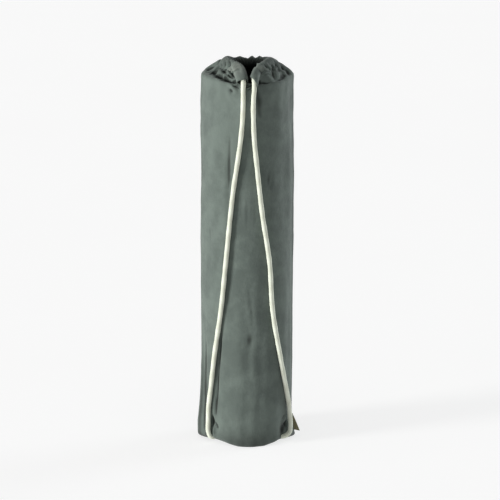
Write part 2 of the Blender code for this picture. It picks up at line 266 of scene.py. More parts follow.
def cordPath():
    # a cubic through the points, by the length between them, then cut into even steps
    hidden = mouthLine(np.array(cord["hiddenTurns"]))
    points = np.concatenate([cord["leftStrap"], hidden, cord["rightStrap"]])
    lengths = runLengths(points)
    fine = through(lengths, points, np.linspace(0, lengths[-1], 4000))
    lengths = runLengths(fine)
    count = round(lengths[-1] / cord["step"])
    return through(lengths, fine, np.linspace(0, lengths[-1], count)), lengths[-1]


def turningFrames(path):
    # two directions square to the path at each point, carried along so that they never twist
    along = unit(np.gradient(path, axis=0))
    side = np.cross(along[0], (0, 1, 0))
    sides = []
    for forward in along:
        side = unit(side - forward * np.dot(side, forward))
        sides.append(side)
    sides = np.array(sides)
    return sides, np.cross(along, sides)


def makeCord():
    # a braid: two sets of strands wind round the cord in opposite ways and pass over each other in turn
    path, length = cordPath()
    side, up = turningFrames(path)
    run = np.linspace(0, length, len(path))[:, None]
    angle = np.linspace(0, 2 * np.pi, cord["sides"], endpoint=False)[None, :]
    lay = 2 * np.pi * run / cord["braidPitch"]
    half = cord["strands"] / 2
    leftStrand = np.abs(np.cos(half * (angle + lay)))
    rightStrand = np.abs(np.cos(half * (angle - lay)))
    over = 0.5 + 0.5 * np.tanh(4 * np.cos(half * 2 * angle) * np.cos(half * 2 * lay))
    relief = np.maximum(leftStrand * (0.72 + 0.28 * over), rightStrand * (1.0 - 0.28 * over))
    soft = sum(height * np.cos(2 * np.pi * run / wave + start) for height, wave, start in cord["unevenness"])
    radius = cord["diameter"] / 2 + cord["braidDepth"] * (relief - 0.85) + soft
    ring = side[:, None] * np.cos(angle)[..., None] + up[:, None] * np.sin(angle)[..., None]
    points = path[:, None] + ring * radius[..., None]
    rows, columns = points.shape[:2]
    # a fan of triangles closes each end round a point of its own
    first, last = np.arange(columns), np.arange(columns) + (rows - 1) * columns
    tip = np.full(columns, rows * columns)
    firstFan = np.stack([first, tip, np.roll(first, -1)], axis=-1)
    lastFan = np.stack([last, np.roll(last, -1), tip + 1], axis=-1)
    allPoints = np.concatenate([points.reshape(-1, 3), path[[0, -1]]])
    rope = meshFrom("rope", allPoints, gridFaces(rows, columns, True), firstFan, lastFan)
    # the braid's relief, which the material turns into painted shade in the grooves
    addValue(rope, "groove", np.append(relief, [1, 1]))
    around = angle * cord["diameter"] / 2 + 0 * run
    uvFrom(rope, np.append(around, [0, 0]), np.append(run + 0 * angle, [0, length]))
    return rope, path, length


rope, ropePath, ropeLength = makeCord()
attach(rope, "root")
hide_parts("drawcord")
print("cord made,", round(ropeLength, 3), "m")


# the cloth: the wall, its side seams, dents and creases
bag = {
    "radius": 0.0777,
    "shoulderHeight": 0.638,
    "shoulderDepth": 0.022,
    "thickness": 0.0012,
    "seamTurn": 82.5,
    # places that the light hardly reaches: turn, spread, height, tall, shade
    "shades": [
        (-74, 30, 0.0, 0.014, 1.3), (76, 22, 0.0, 0.016, 1.3), (0, 80, 0.0, 0.05, 0.72), (-61, 7, 0.045, 0.13, 0.62),
        (55, 12, 0.024, 0.02, 0.6), (-77, 7, 0.055, 0.17, 0.80), (89, 5, 0.11, 0.14, 0.4),
        (10, 26, 0.61, 0.05, 0.30), (-62, 62, 0.646, 0.022, 0.46), (88, 80, 0.646, 0.022, 0.42),
    ],
    # a fold of shadeDepth is fully dark, against the surface smoothed shadeRounds times
    "shadeDepth": 0.0012,
    "shadeRounds": 14,
    "seamRidge": 0.0013,
    "seamWidth": 1.5,
    "pullSpread": 40,
    # a full bag is never quite even: seed, how many waves, their number round it, their length up it, height
    "unevenness": [
        (3, 26, (2, 9), (0.12, 0.60), 0.00046), (5, 60, (8, 30), (0.025, 0.11), 0.00016),
        (8, 26, (7, 24), (0.35, 1.60), 0.00026),
    ],
    "baseRoll": 0.004,
    "baseHem": 0.0015,
    # how far the straps pull the two sides out near the base: height, left, right
    "sidePull": [
        (0.0, 0.0035, 0.0043), (0.01, 0.0055, 0.0016), (0.029, 0.0059, -0.002), (0.054, 0.0039, -0.0031),
        (0.089, 0.0016, -0.002), (0.147, 0.0, 0.0), (0.7, 0.0, 0.0),
    ],
    # the two lifted corners of the base: turn, spread, width, height
    "corners": [(-50, 46, 0.0242, 0.0086), (57, 42, 0.019, 0.0056)],
    # soft dents: turn, spread, height, tall, depth
    "dents": [
        (-41, 9, 0.064, 0.064, 0.0023), (52, 11, 0.022, 0.036, 0.0034), (14, 22, 0.332, 0.102, 0.0017),
        (-24, 16, 0.485, 0.089, 0.0014), (150, 26, 0.383, 0.14, 0.0022), (-140, 24, 0.217, 0.128, 0.002),
        (110, 16, 0.14, 0.089, 0.0019), (6, 32, 0.0, 0.036, -0.0036), (-69, 7, 0.07, 0.12, 0.003),
    ],
    # thin creases: turn and height at both ends, width, depth (negative stands out)
    "creases": [
        (-27, 0.352, -34, 0.2, 0.0022, 0.0018), (-33, 0.215, -37.5, 0.13, 0.0022, 0.0034),
        (-36.5, 0.155, -45.2, 0.04, 0.0024, 0.0042), (-31, 0.24, -41, 0.06, 0.0022, -0.0008),
        (-50, 0.052, -48, 0.026, 0.0036, 0.0052), (-47, 0.04, -38, 0.026, 0.003, 0.0024),
        (-46, 0.03, -45, 0.01, 0.0016, -0.0016), (-66, 0.21, -67, -0.02, 0.0034, 0.0034),
        (-76, 0.21, -77, -0.02, 0.002, -0.0018), (-60, 0.12, -60, 0.0, 0.0026, 0.002),
        (-85, 0.24, -85, -0.03, 0.0024, 0.0036), (-20, 0.629, -9, 0.6255, 0.0022, 0.0026),
        (-24, 0.621, -18, 0.615, 0.003, 0.0013), (-28, 0.634, -20, 0.6335, 0.0018, 0.0012),
        (-13, 0.616, -7, 0.607, 0.003, 0.001), (-20, 0.612, -12, 0.6, 0.0026, -0.0009),
        (-30, 0.606, -18, 0.59, 0.004, 0.0007), (-3, 0.276, 7, 0.212, 0.003, -0.0016),
        (1, 0.268, 10, 0.206, 0.0032, 0.0013), (-10, 0.432, 3, 0.4, 0.003, -0.0016),
        (-9, 0.42, 5, 0.39, 0.003, 0.0014), (-5, 0.456, 12, 0.446, 0.0034, 0.0013),
        (3, 0.416, 13, 0.382, 0.0032, -0.0012), (-9, 0.198, 10, 0.184, 0.004, 0.0014),
        (-4, 0.174, 12, 0.15, 0.004, -0.0013), (-10, 0.138, 8, 0.12, 0.004, 0.0012),
        (2, 0.102, 14, 0.08, 0.0042, 0.0011), (24, 0.484, 34, 0.436, 0.0046, 0.0014),
        (30, 0.474, 43, 0.45, 0.0042, -0.0012), (-14, 0.52, -6, 0.47, 0.004, 0.0012),
        (-50, 0.56, -30, 0.5, 0.006, 0.0012), (-60, 0.4, -48, 0.33, 0.006, 0.0012),
        (-22, 0.56, -26, 0.38, 0.0034, 0.0012), (22, 0.62, 46, 0.612, 0.004, 0.0008),
        (40, 0.604, 60, 0.59, 0.005, -0.0006), (67, 0.037, 54, 0.024, 0.0034, 0.0038),
        (62, 0.048, 50, 0.042, 0.003, 0.0014), (58, 0.036, 49, 0.014, 0.0024, 0.0018),
        (62, 0.052, 60, 0.008, 0.003, 0.0018), (-48, 0.04, -44, 0.008, 0.0026, -0.0014),
        (120, 0.6, 132, 0.56, 0.005, 0.001), (165, 0.62, 176, 0.58, 0.0045, 0.0009),
        (-150, 0.61, -140, 0.57, 0.005, 0.001), (-110, 0.622, -98, 0.6, 0.004, 0.0009),
        (170, 0.33, 190, 0.29, 0.006, 0.0009), (-160, 0.18, -138, 0.15, 0.006, -0.0008),
        (140, 0.11, 160, 0.08, 0.0055, 0.0009), (100, 0.42, 118, 0.39, 0.0055, -0.0007),
    ],
}


def sidePull(turn, height):
    # the pull at this height, spread round each side seam by a bump
    rows = np.array(bag["sidePull"])
    total = 0.0
    for column, seam in ((1, -bag["seamTurn"]), (2, bag["seamTurn"])):
        pull = np.interp(height, rows[:, 0], rows[:, column])
        total = total + pull * bump(wrapTurn(turn - seam), bag["pullSpread"])
    return total


def creaseDepth(turn, height):
    # the sum of all creases, each a bell across its line on the cloth laid flat
    total = 0.0
    arc = math.radians(1) * bag["radius"]
    for turnA, heightA, turnB, heightB, width, depth in bag["creases"]:
        ends = (0.0, heightA, wrapTurn(turnB - turnA) * arc, heightB)
        total = total + depth * segmentBell(wrapTurn(turn - turnA) * arc, height, ends, width)
    return total


def wallRadius(turn, height):
    # the radius with pull, unevenness and seams added, and dents and creases taken off
    dents = 0.0
    for middle, spread, high, tall, depth in bag["dents"]:
        dents = dents + depth * bump(wrapTurn(turn - middle), spread) * bump(height - high, tall)
    uneven = 0.0
    for seed, waves, roundRange, longRange, high in bag["unevenness"]:
        uneven = uneven + high * ripples(turn, height, seed, waves, roundRange, longRange)
    seams = 0.0
    for seam in (-bag["seamTurn"], bag["seamTurn"]):
        seams = seams + bag["seamRidge"] * np.exp(-((wrapTurn(turn - seam) / bag["seamWidth"]) ** 2))
    return bag["radius"] + sidePull(turn, height) - dents - creaseDepth(turn, height) + uneven + seams


def baseSlant(turn):
    # how far the rounded edge of the base reaches in and up: an even roll, and more at the two corners
    width = bag["baseRoll"] + 0 * turn
    height = bag["baseRoll"] + 0 * turn
    for middle, spread, wide, high in bag["corners"]:
        beside = bump(wrapTurn(turn - middle), spread)
        width = width + wide * beside
        height = height + high * beside
    return width, height


gathers = {
    # valleys (positive) and ridges of the gathers: turn, width in degrees, depth on dome and on casing, how far down
    "pleats": [
        (12, 4.5, 0.0012, 0.0006, 0.62), (24, 5.0, 0.003, 0.0034, 0.48), (33, 5.5, -0.0012, -0.003, 0.60),
        (43, 5.0, 0.0034, 0.0036, 0.40), (52, 4.5, 0.0014, 0.0016, 0.60), (63, 6.0, 0.0044, 0.003, 0.32),
        (77, 5.0, 0.0028, 0.0034, 0.46), (90, 5.5, 0.0048, 0.0028, 0.30), (103, 5.0, 0.0026, 0.0034, 0.50),
        (116, 6.0, 0.005, 0.003, 0.28), (130, 4.5, 0.003, 0.0038, 0.46), (142, 5.5, 0.0048, 0.0026, 0.34),
        (155, 5.0, 0.0028, 0.0036, 0.50), (168, 6.0, 0.005, 0.003, 0.30), (182, 4.5, 0.003, 0.004, 0.44),
        (194, 5.5, 0.0046, 0.0024, 0.36), (207, 5.0, 0.003, 0.0036, 0.48), (220, 6.0, 0.005, 0.003, 0.28),
        (234, 5.0, 0.0028, 0.0036, 0.50), (246, 5.5, 0.0046, 0.0026, 0.34), (259, 5.0, 0.003, 0.0036, 0.46),
        (272, 5.5, 0.0046, 0.0028, 0.32), (284, 4.5, 0.0028, 0.0034, 0.50), (295, 5.0, 0.0042, 0.003, 0.38),
        (305, 4.5, 0.0026, 0.003, 0.52), (314, 5.0, 0.0046, 0.0044, 0.44), (327, 7.0, -0.0006, -0.0012, 0.60),
        (346, 5.0, 0.001, 0.0004, 0.66),
    ],
    # the grid of the settled cloth: its lowest height, its columns, and its rows up the wall and over the dome
    "foot": 0.545,
    "columns": 360,
    "wallRows": 24,
    "domeRows": 44,
    # half the gap between the casing's two ends
    "notchTurn": 6.6,
}


def pleatDepth(turn, share):
    # the sum of bells, one for each pleat, that reach down the dome as far as their own share; 1 is the stitching
    onDome, onCasing = 0.0, 0.0
    for middle, spread, domeDepth, casingDepth, reach in gathers["pleats"]:
        lean = middle + 5.0 * (share - 0.8) * math.sin(1.7 * middle)
        bell = np.exp(-((wrapTurn(turn - lean) / (spread * (1.5 - 0.5 * share) * 0.62)) ** 2))
        onDome = onDome + domeDepth * bell * fade(reach, reach + 0.40, share)
        onCasing = onCasing + casingDepth * bell
    return onDome, onCasing


def wrinkles(turn, along, seed, count, roundRange, longRange):
    # sharp-crested waves, each fading in and out round the bag: 1 - |sin|, so that crests are thin and troughs round
    dice = np.random.default_rng(seed)
    total = np.zeros(np.broadcast(turn, along).shape)
    for _ in range(count):
        around = dice.integers(roundRange[0], roundRange[1] + 1)
        slope = dice.uniform(*longRange)
        patch = 0.5 + 0.5 * np.cos(np.radians(turn) * dice.integers(1, 5) + dice.uniform(0, 6.28))
        wave = np.sin(np.radians(turn) * around + along * slope + dice.uniform(0, 6.28))
        total += patch * (0.64 - np.abs(wave))
    return total / math.sqrt(count)


# the casing, a ruffled channel round the cord
ruffle = {
    # its section: turn, reach out and in, half its height, tilt, and where its stitching is
    "section": [
        (3, 0.006, 0.0054, 0.0056, 0, -80), (9, 0.0086, 0.005, 0.0058, 6, -72), (22, 0.0112, 0.005, 0.006, 16, -52),
        (40, 0.0135, 0.006, 0.0061, 24, -38), (62, 0.015, 0.0076, 0.0062, 26, -32),
        (90, 0.0155, 0.0085, 0.0062, 24, -30), (125, 0.0152, 0.0085, 0.0062, 28, -34),
        (180, 0.0145, 0.0085, 0.0062, 32, -38), (270, 0.0142, 0.0085, 0.0062, 30, -38),
        (308, 0.015, 0.0072, 0.0063, 30, -40), (322, 0.0165, 0.0062, 0.0064, 26, -44),
        (338, 0.0162, 0.0062, 0.0064, 16, -54), (351, 0.013, 0.0062, 0.006, 5, -72),
        (357, 0.0108, 0.0064, 0.0056, 0, -80),
    ],
    # crests along its top: turn, height
    "crests": [
        (0, 0), (60, 0), (90, 0.0006), (104, 0.0004), (118, 0.0022), (134, 0.0014), (146, 0.0044), (158, 0.0002),
        (169, 0.005), (180, 0.0004), (191, 0.0012), (208, 0.004), (223, 0.0012), (236, 0.0), (250, 0.002),
        (262, 0.0028), (275, 0.0012), (290, 0.001), (312, 0), (360, 0),
    ],
    # how far the outer side of each end reaches past its middle, along the mouth's line
    "rightEnd": 0.01,
    "leftEnd": -0.001,
    "wrinkle": 0.0013,
    # folds at the front, in the same terms as the dome's
    "folds": [
        (-0.0289, 0.654, -0.0279, 0.6403, 0.0017, 0.003), (-0.0281, 0.643, -0.021, 0.625, 0.0016, 0.0026),
        (-0.037, 0.6544, -0.035, 0.6389, 0.0017, 0.003), (-0.0446, 0.6511, -0.0404, 0.6391, 0.0018, 0.0024),
        (-0.0329, 0.6525, -0.0313, 0.6371, 0.0013, -0.0012), (-0.0092, 0.6469, -0.0004, 0.6344, 0.0013, -0.001),
        (-0.0235, 0.6459, -0.0134, 0.6502, 0.0016, -0.001), (-0.0176, 0.6426, -0.0101, 0.6255, 0.0026, 0.001),
        (0.0212, 0.6456, 0.0298, 0.6488, 0.0014, -0.0012), (0.0293, 0.6488, 0.0381, 0.6379, 0.0014, -0.0014),
        (0.0378, 0.6396, 0.0388, 0.6259, 0.0014, -0.0014), (0.0271, 0.6418, 0.0318, 0.6307, 0.0016, 0.0026),
        (0.0314, 0.632, 0.0234, 0.6192, 0.0016, 0.0028), (0.0083, 0.6295, 0.0259, 0.638, 0.0014, -0.0008),
        (0.041, 0.6502, 0.0432, 0.6331, 0.0018, 0.0032),
    ],
    # the cloth's way round, and where the casing starts up the cloth
    "cloth": 0.046,
    "clothFoot": 0.70,
    # shade in its folds, on the side that faces into the mouth and along the back
    "foldShade": 1.3,
    "insideShade": 0.72,
    "backShade": 0.36,
    # where both ends catch the light: turn, spread, amount
    "lit": [(-22, 26, 1.1), (20, 16, 0.6)],
}


def casingLoop(turn, angle):
    # a flattened ellipse round the cord, tilted down outwards, with the gathers pressed into it
    reachOut, reachIn, high, tilt, stitched = np.moveaxis(fromTable(ruffle["section"], turn % 360), -1, 0)
    lean = np.radians(tilt)
    angle = np.radians(stitched) + lean + angle
    out, up = mouthAxes(turn)
    free = fade(8, 30, np.abs(wrapTurn(turn)))
    twist = turn + 7 * np.sin(angle - np.radians(tilt + stitched)) * np.sin(3 * np.radians(turn))
    fine = free * wrinkles(twist, 2 * angle, 12, 10, (14, 42), (-1.5, 1.5))
    press = pleatDepth(twist, np.ones(1))[1] - ruffle["wrinkle"] * fine
    side = np.cos(angle) * np.where(np.cos(angle) > 0, reachOut, reachIn) * (1 - press / reachOut)
    crest = np.interp(turn % 360, *np.transpose(ruffle["crests"]))
    rise = np.sin(angle) * high * (1 + 0.10 * fine) + crest * fade(0.2, 1.0, np.sin(angle))
    flap = 0.62 * press * fade(0.003, 0.01, np.abs(side))
    level = side * np.cos(lean) + rise * np.sin(lean)
    lift = rise * np.cos(lean) - side * np.sin(lean) - flap
    # the right end is cut aslant: its outer side reaches further down the front
    slant = np.where(wrapTurn(turn) > 0, ruffle["rightEnd"], ruffle["leftEnd"])
    slant = slant * bump(wrapTurn(turn), 12) * np.cos(angle)
    along = np.cross(out, up)
    return mouthLine(turn) + out * level[..., None] + up * lift[..., None] + along * slant[..., None]


def stitchTurn(turn):
    # the front columns of the body crowd together under the casing's two ends
    away = np.abs(wrapTurn(turn))
    return np.sign(wrapTurn(turn)) * np.interp(away, [gathers["notchTurn"], 13, 30, 180], [3, 9, 30, 180])


def stitchLine(turn):
    # where body and casing meet, with the notch between the casing's ends at the front
    line = casingLoop(stitchTurn(turn), 0 * turn)
    line = line + 0.10 * (mouthLine(stitchTurn(turn)) - line)
    end = gathers["notchTurn"]
    left, right = casingLoop(np.array([-3.0, 3.0]), np.zeros(2))
    share = np.clip((wrapTurn(turn) + end) / (2 * end), 0, 1)[:, None]
    notch = left + (right - left) * share + bump(wrapTurn(turn), end)[:, None] * np.array([0, -0.001, 0.001])
    return np.where(np.abs(wrapTurn(turn))[:, None] < end, notch, line)


dome = {
    # the side of the dome by turn: share of the way in, height of the curve's two handles over the shoulder
    "handles": [
        (-180, 0.46, -0.002, 0.015), (-120, 0.52, -0.006, 0.021), (-85, 0.58, -0.01, 0.026),
        (-60, 0.56, -0.009, 0.023), (-35, 0.46, -0.007, 0.012), (-15, 0.40, -0.006, 0.001),
        (0, 0.40, -0.006, -0.002), (15, 0.40, -0.006, 0.001), (35, 0.44, -0.006, 0.012), (60, 0.48, -0.005, 0.022),
        (85, 0.50, -0.004, 0.026), (120, 0.50, -0.004, 0.021), (180, 0.46, -0.002, 0.015),
    ],
    # folds of the front as the camera sees them: x and seen height at both ends, width, depth (negative stands out)
    "folds": [
        (-0.0595, 0.6355, -0.0377, 0.6204, 0.0042, 0.007), (-0.0519, 0.6283, -0.0218, 0.6166, 0.0034, 0.0066),
        (-0.0401, 0.6204, -0.0067, 0.6129, 0.0026, 0.0062), (-0.0723, 0.6314, -0.0538, 0.642, 0.0028, 0.0034),
        (-0.0638, 0.6329, -0.0454, 0.6434, 0.0018, -0.0014), (-0.0419, 0.6404, -0.0335, 0.6276, 0.0021, 0.004),
        (-0.0369, 0.6302, -0.021, 0.6204, 0.0018, 0.004), (-0.0307, 0.6421, -0.0268, 0.6302, 0.0017, 0.0032),
        (-0.0285, 0.6327, -0.0176, 0.6216, 0.0017, 0.0036), (-0.0477, 0.637, -0.041, 0.6285, 0.002, -0.0016),
        (-0.0377, 0.6267, -0.0201, 0.6185, 0.0014, -0.0012), (-0.057, 0.625, -0.0419, 0.6173, 0.002, -0.001),
        (-0.0259, 0.6119, -0.0125, 0.6016, 0.0026, 0.0034), (-0.0309, 0.6059, -0.0234, 0.5922, 0.0026, 0.0024),
        (-0.03, 0.6102, -0.0192, 0.6045, 0.0018, -0.0014), (-0.0217, 0.6007, -0.0142, 0.5947, 0.0022, -0.001),
        (0.0175, 0.6119, 0.0451, 0.6163, 0.003, 0.004), (0.0385, 0.6177, 0.0745, 0.6242, 0.0034, 0.0056),
        (0.0167, 0.6085, 0.025, 0.6196, 0.0022, 0.0036), (0.0419, 0.6317, 0.0536, 0.6463, 0.0022, -0.0016),
        (0.0503, 0.6292, 0.0671, 0.6343, 0.0022, -0.0018), (0.0402, 0.6434, 0.0452, 0.6262, 0.0028, 0.0036),
        (0.0545, 0.645, 0.0613, 0.6347, 0.0024, 0.003), (0.0621, 0.6408, 0.0739, 0.6271, 0.003, 0.003),
        (0.0486, 0.6223, 0.0688, 0.6292, 0.0026, 0.003),
    ],
    # swells: turn, spread, share of the way in, spread, height
    "swells": [(86, 60, 0.62, 0.36, 0.006), (40, 34, 0.66, 0.30, 0.002), (-92, 46, 0.74, 0.30, 0.0048)],
    "wrinkle": 0.0008,
}


def seenPress(place, rows):
    # a point's seen height is its height less what the view from above takes off by depth
    seenHeight = place[..., 2] + math.tan(math.radians(photo["elevation"])) * place[..., 1]
    return sum(row[5] * segmentBell(place[..., 0], seenHeight, row[:4], row[4]) for row in rows)


def domePress(place, turn, share):
    # the folds of the front, less the swells and the wrinkles, dying away at the stitching
    total = seenPress(place, dome["folds"]) * fade(0.03, 0.0, place[..., 1])
    for middle, spread, inward, wide, height in dome["swells"]:
        total = total - height * bump(wrapTurn(turn - middle), spread) * bump(share - inward, wide)
    fine = wrinkles(turn, 9 * share, 21, 12, (14, 52), (-1.5, 1.5))
    total = total - dome["wrinkle"] * fine * fade(0.34, 0.70, share) * (1 - 0.8 * fade(0.9, 1.0, share))
    return total * (1 - fade(0.97, 1.0, share))


def pressed(place, turn, share):
    # a grid moved in along its normals by its folds
    return place - gridNormals(place) * domePress(place, turn, share)[..., None]


def domeGrid(turn, share):
    # a cubic Bezier from the straight wall, over the shoulder, to the stitching, folded along its normal
    start = bag["shoulderHeight"] - bag["shoulderDepth"]
    inward, cornerUp, innerUp = np.moveaxis(fromTable(dome["handles"], wrapTurn(turn)), -1, 0)
    edge = stitchLine(turn)
    foot = atTurn(turn, wallRadius(turn, start), start)
    corner = foot.copy()
    corner[:, 2] = bag["shoulderHeight"] + cornerUp
    inner = foot + (edge - foot) * inward[:, None]
    inner[:, 2] = bag["shoulderHeight"] + innerUp
    t = share[:, None, None]
    place = (1 - t)**3 * foot + 3 * (1 - t)**2 * t * corner + 3 * (1 - t) * t**2 * inner + t**3 * edge
    press = pleatDepth(turn, share[:, None])[0] * (1 - 0.6 * fade(0.85, 1.0, share))[:, None]
    return place - gridNormals(place) * press[..., None]


# the top settles as cloth, at ten times the size
settle = {
    "scale": 10.0, "wallRows": 14, "domeRows": 24, "drawnBy": 32, "frames": 42, "slack": 1.26, "smooth": 2,
    # the edge of the rolled mat: radius, height; and how far it stands higher away from the front
    "mat": [(0.0757, 0.50), (0.0757, 0.62), (0.0749, 0.625), (0.072, 0.627), (0.0, 0.6275)],
    "matUp": 0.006,
    "coreShare": 0.86,
    "gravity": 0.15,
    "cloth": {
        "quality": 6, "mass": 0.3, "tension_stiffness": 15.0, "compression_stiffness": 5.0, "shear_stiffness": 3.0,
        "bending_stiffness": 30.0, "tension_damping": 6, "compression_damping": 6, "shear_damping": 6,
        "bending_damping": 0.6, "air_damping": 3, "vertex_group_mass": "pinned",
    },
    "contact": {
        "use_collision": True, "distance_min": 0.008, "collision_quality": 3, "use_self_collision": True,
        "self_distance_min": 0.012,
    },
    "obstacle": {"thickness_outer": 0.004, "cloth_friction": 4},
}


def obstacle(name, points):
    # a closed grid that the cloth rests on, deleted after the simulation
    faces = gridFaces(points.shape[0], points.shape[1], True)
    body = meshFrom(name, points * settle["scale"], faces)
    body.modifiers.new("collision", "COLLISION")
    setAll(body.collision, settle["obstacle"])
    return body


def drawnIn(flat, drawn, faces, pinned):
    # the top edge of a straight tube is drawn in to the casing's stitching, over the edge of the mat
    scale = settle["scale"]
    sheet = meshFrom("settling", flat * scale, faces)
    sheet.shape_key_add(name="Basis")
    key = sheet.shape_key_add(name="drawn")
    key.data.foreach_set("co", (drawn * scale).astype(np.float32).ravel())
    for number, value in ((1, 0.0), (settle["drawnBy"], 1.0), (settle["frames"], 1.0)):
        key.value = value
        key.keyframe_insert("value", frame=number)
    group = sheet.vertex_groups.new(name="pinned")
    group.add(np.flatnonzero(pinned).tolist(), 1.0, "REPLACE")
    turn = np.linspace(6, 354, 140)
    loop = casingLoop(turn, np.linspace(0, 2 * np.pi, 15)[:-1, None]).transpose(1, 0, 2)
    middle = loop.mean(axis=1, keepdims=True)
    helpers = [obstacle("casingInside", middle + (loop - middle) * settle["coreShare"])]
    matTurn, profile = np.arange(0, 360, 6.0), np.array(settle["mat"])
    rise = settle["matUp"] * (1 - bump(wrapTurn(matTurn), 50)) * (profile[:, 1:] > 0.6)
    helpers.append(obstacle("rolledMat", atTurn(matTurn, profile[:, :1], profile[:, 1:] + rise)))
    cloth = sheet.modifiers.new("cloth", "CLOTH")
    setAll(cloth.settings, settle["cloth"])
    cloth.settings.effector_weights.gravity = settle["gravity"]
    setAll(cloth.collision_settings, settle["contact"])
    cloth.point_cache.frame_start = 1
    cloth.point_cache.frame_end = settle["frames"]
    scene = bpy.context.scene
    for number in range(1, settle["frames"] + 1):
        scene.frame_set(number)
    view = sheet.evaluated_get(bpy.context.evaluated_depsgraph_get())
    place = np.empty(flat.size, dtype=np.float32)
    view.data.vertices.foreach_get("co", place)
    scene.frame_set(1)
    for body in [sheet] + helpers:
        bpy.data.objects.remove(body, do_unlink=True)
    return place.reshape(-1, 3).astype(float) / scale


def domeShare(rows, wallRows):
    # each row's share of the way over the dome, 0 all the way up the wall
    return np.clip((np.arange(rows) - wallRows) / (rows - 1 - wallRows), 0, 1)[:, None]


def upperGrid(turn, wallRows, domeRows):
    # the upper wall and the dome, by formula
    start = bag["shoulderHeight"] - bag["shoulderDepth"]
    heights = np.linspace(gathers["foot"], start, wallRows + 1)[:, None]
    lower = atTurn(turn, wallRadius(turn, heights), heights)
    return np.concatenate([lower, domeGrid(turn, np.linspace(0, 1, domeRows + 1))[1:]])


def foldedTop(turn, place, wallRows):
    # the settled cloth with the wall's creases and the folds of the front pressed into it
    share = domeShare(len(place), wallRows)
    away = np.hypot(place[..., 0], place[..., 1])
    dent = bag["radius"] + sidePull(turn, place[..., 2]) - wallRadius(turn, place[..., 2])
    dent = dent * fade(0.0, 0.10, 1 - share) * fade(0.07, 0.075, away) * (share <= 0.5)
    dent = dent * fade(gathers["foot"] + 0.004, gathers["foot"] + 0.036, place[..., 2])
    place = place - atTurn(turn, dent, 0 * dent)
    return pressed(place, turn, share)


def makeTop():
    turn = -179.5 + 360 / gathers["columns"] * np.arange(gathers["columns"])
    grid = upperGrid(turn, gathers["wallRows"], gathers["domeRows"])
    coarse = turn[::2]
    drawn = upperGrid(coarse, settle["wallRows"], settle["domeRows"])
    rows, columns = drawn.shape[:2]
    steps = np.linalg.norm(np.diff(drawn, axis=0), axis=-1)
    steps[settle["wallRows"]:] *= settle["slack"]
    climb = np.concatenate([np.zeros((1, columns)), np.cumsum(steps, axis=0)])
    flat = atTurn(coarse, bag["radius"], gathers["foot"] + climb)
    pinned = np.zeros((rows, columns), bool)
    pinned[:2] = True
    pinned[-1] = True
    faces = gridFaces(rows, columns, True)
    place = drawnIn(flat.reshape(-1, 3), drawn.reshape(-1, 3), faces, pinned.ravel()).reshape(rows, columns, 3)
    for _ in range(settle["smooth"]):
        # each point moves half way to the middle of its four neighbours; both edges stay
        ring = 0.5 * (np.roll(place, 1, axis=1) + np.roll(place, -1, axis=1))
        middle = 0.5 * ring[1:-1] + 0.25 * (place[:-2] + place[2:])
        place[1:-1] += 0.5 * (middle - place[1:-1])
    print("cloth drawn in, reach", place.min(axis=(0, 1)).round(4), place.max(axis=(0, 1)).round(4))
    return turn, foldedTop(turn, finer(place, 2), 2 * settle["wallRows"])


topTurn, topBody = makeTop()
print("top made")


def lowerWall(turn):
    # hem, roll and wall from the base up to where the settled cloth starts
    width, height = baseSlant(turn)
    hem = atTurn(turn, wallRadius(turn, 0.0) - width - bag["baseHem"], 0 * turn)
    rows = [hem]
    for share in (0.0, 0.13, 0.24, 0.36, 0.50, 0.66, 0.83):
        high = height * share**1.5
        rows.append(atTurn(turn, wallRadius(turn, high) - width * (1 - share) ** 1.4, high))
    levels = np.concatenate([np.linspace(0.0, 0.13, 24)[:-1], np.linspace(0.13, 1.0, 30)])
    for share in levels:
        high = height + (gathers["foot"] - height) * share
        rows.append(atTurn(turn, wallRadius(turn, high), high))
    return np.array(rows)


def foldShade(grid, closed):
    # how deep each point lies below its surroundings, 0 to 1: the smoothed surface less the surface, along its normal
    rows, columns = np.arange(grid.shape[0]), np.arange(grid.shape[1])
    above, below = np.minimum(rows + 1, rows[-1]), np.maximum(rows - 1, 0)
    if closed:
        left, right = np.roll(columns, 2), np.roll(columns, -2)
    else:
        left, right = np.maximum(columns - 2, 0), np.minimum(columns + 2, columns[-1])
    soft = grid
    for _ in range(bag["shadeRounds"]):
        ring = 0.5 * (soft[:, left] + soft[:, right])
        soft = 0.5 * ring + 0.25 * (ring[above] + ring[below])
    deep = ((soft - grid) * gridNormals(grid)).sum(axis=-1)
    return np.clip(deep / bag["shadeDepth"], 0, 1)


def makeBody():
    # one grid from the hem of the base to the casing's stitching, with a UV map of the cloth laid flat
    turn = topTurn
    grid = np.concatenate([lowerWall(turn)[:-1], topBody])
    around = np.radians(turn) * bag["radius"] + 0 * grid[..., 0]
    steps = np.linalg.norm(np.diff(grid, axis=0), axis=-1).mean(axis=1)
    along = np.concatenate([[0], np.cumsum(steps)])[:, None] + 0 * grid[..., 0]
    body = meshFrom("bag_cloth", grid, gridFaces(grid.shape[0], grid.shape[1], True))
    uvFrom(body, around, along)
    # painted shade, stored for the material: dark in the folds and where the light hardly reaches
    shade = foldShade(grid, True)
    for middle, spread, height, tall, amount in bag["shades"]:
        shade = shade + amount * bump(wrapTurn(turn - middle), spread) * bump(grid[..., 2] - height, tall)
    addValue(body, "paintedShadeAndLight", np.clip(shade, -1, 1))
    wall(body, bag["thickness"])
    return body


bagCloth = makeBody()
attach(bagCloth, "root")
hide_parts("cloth_tube")
print("body cloth made")


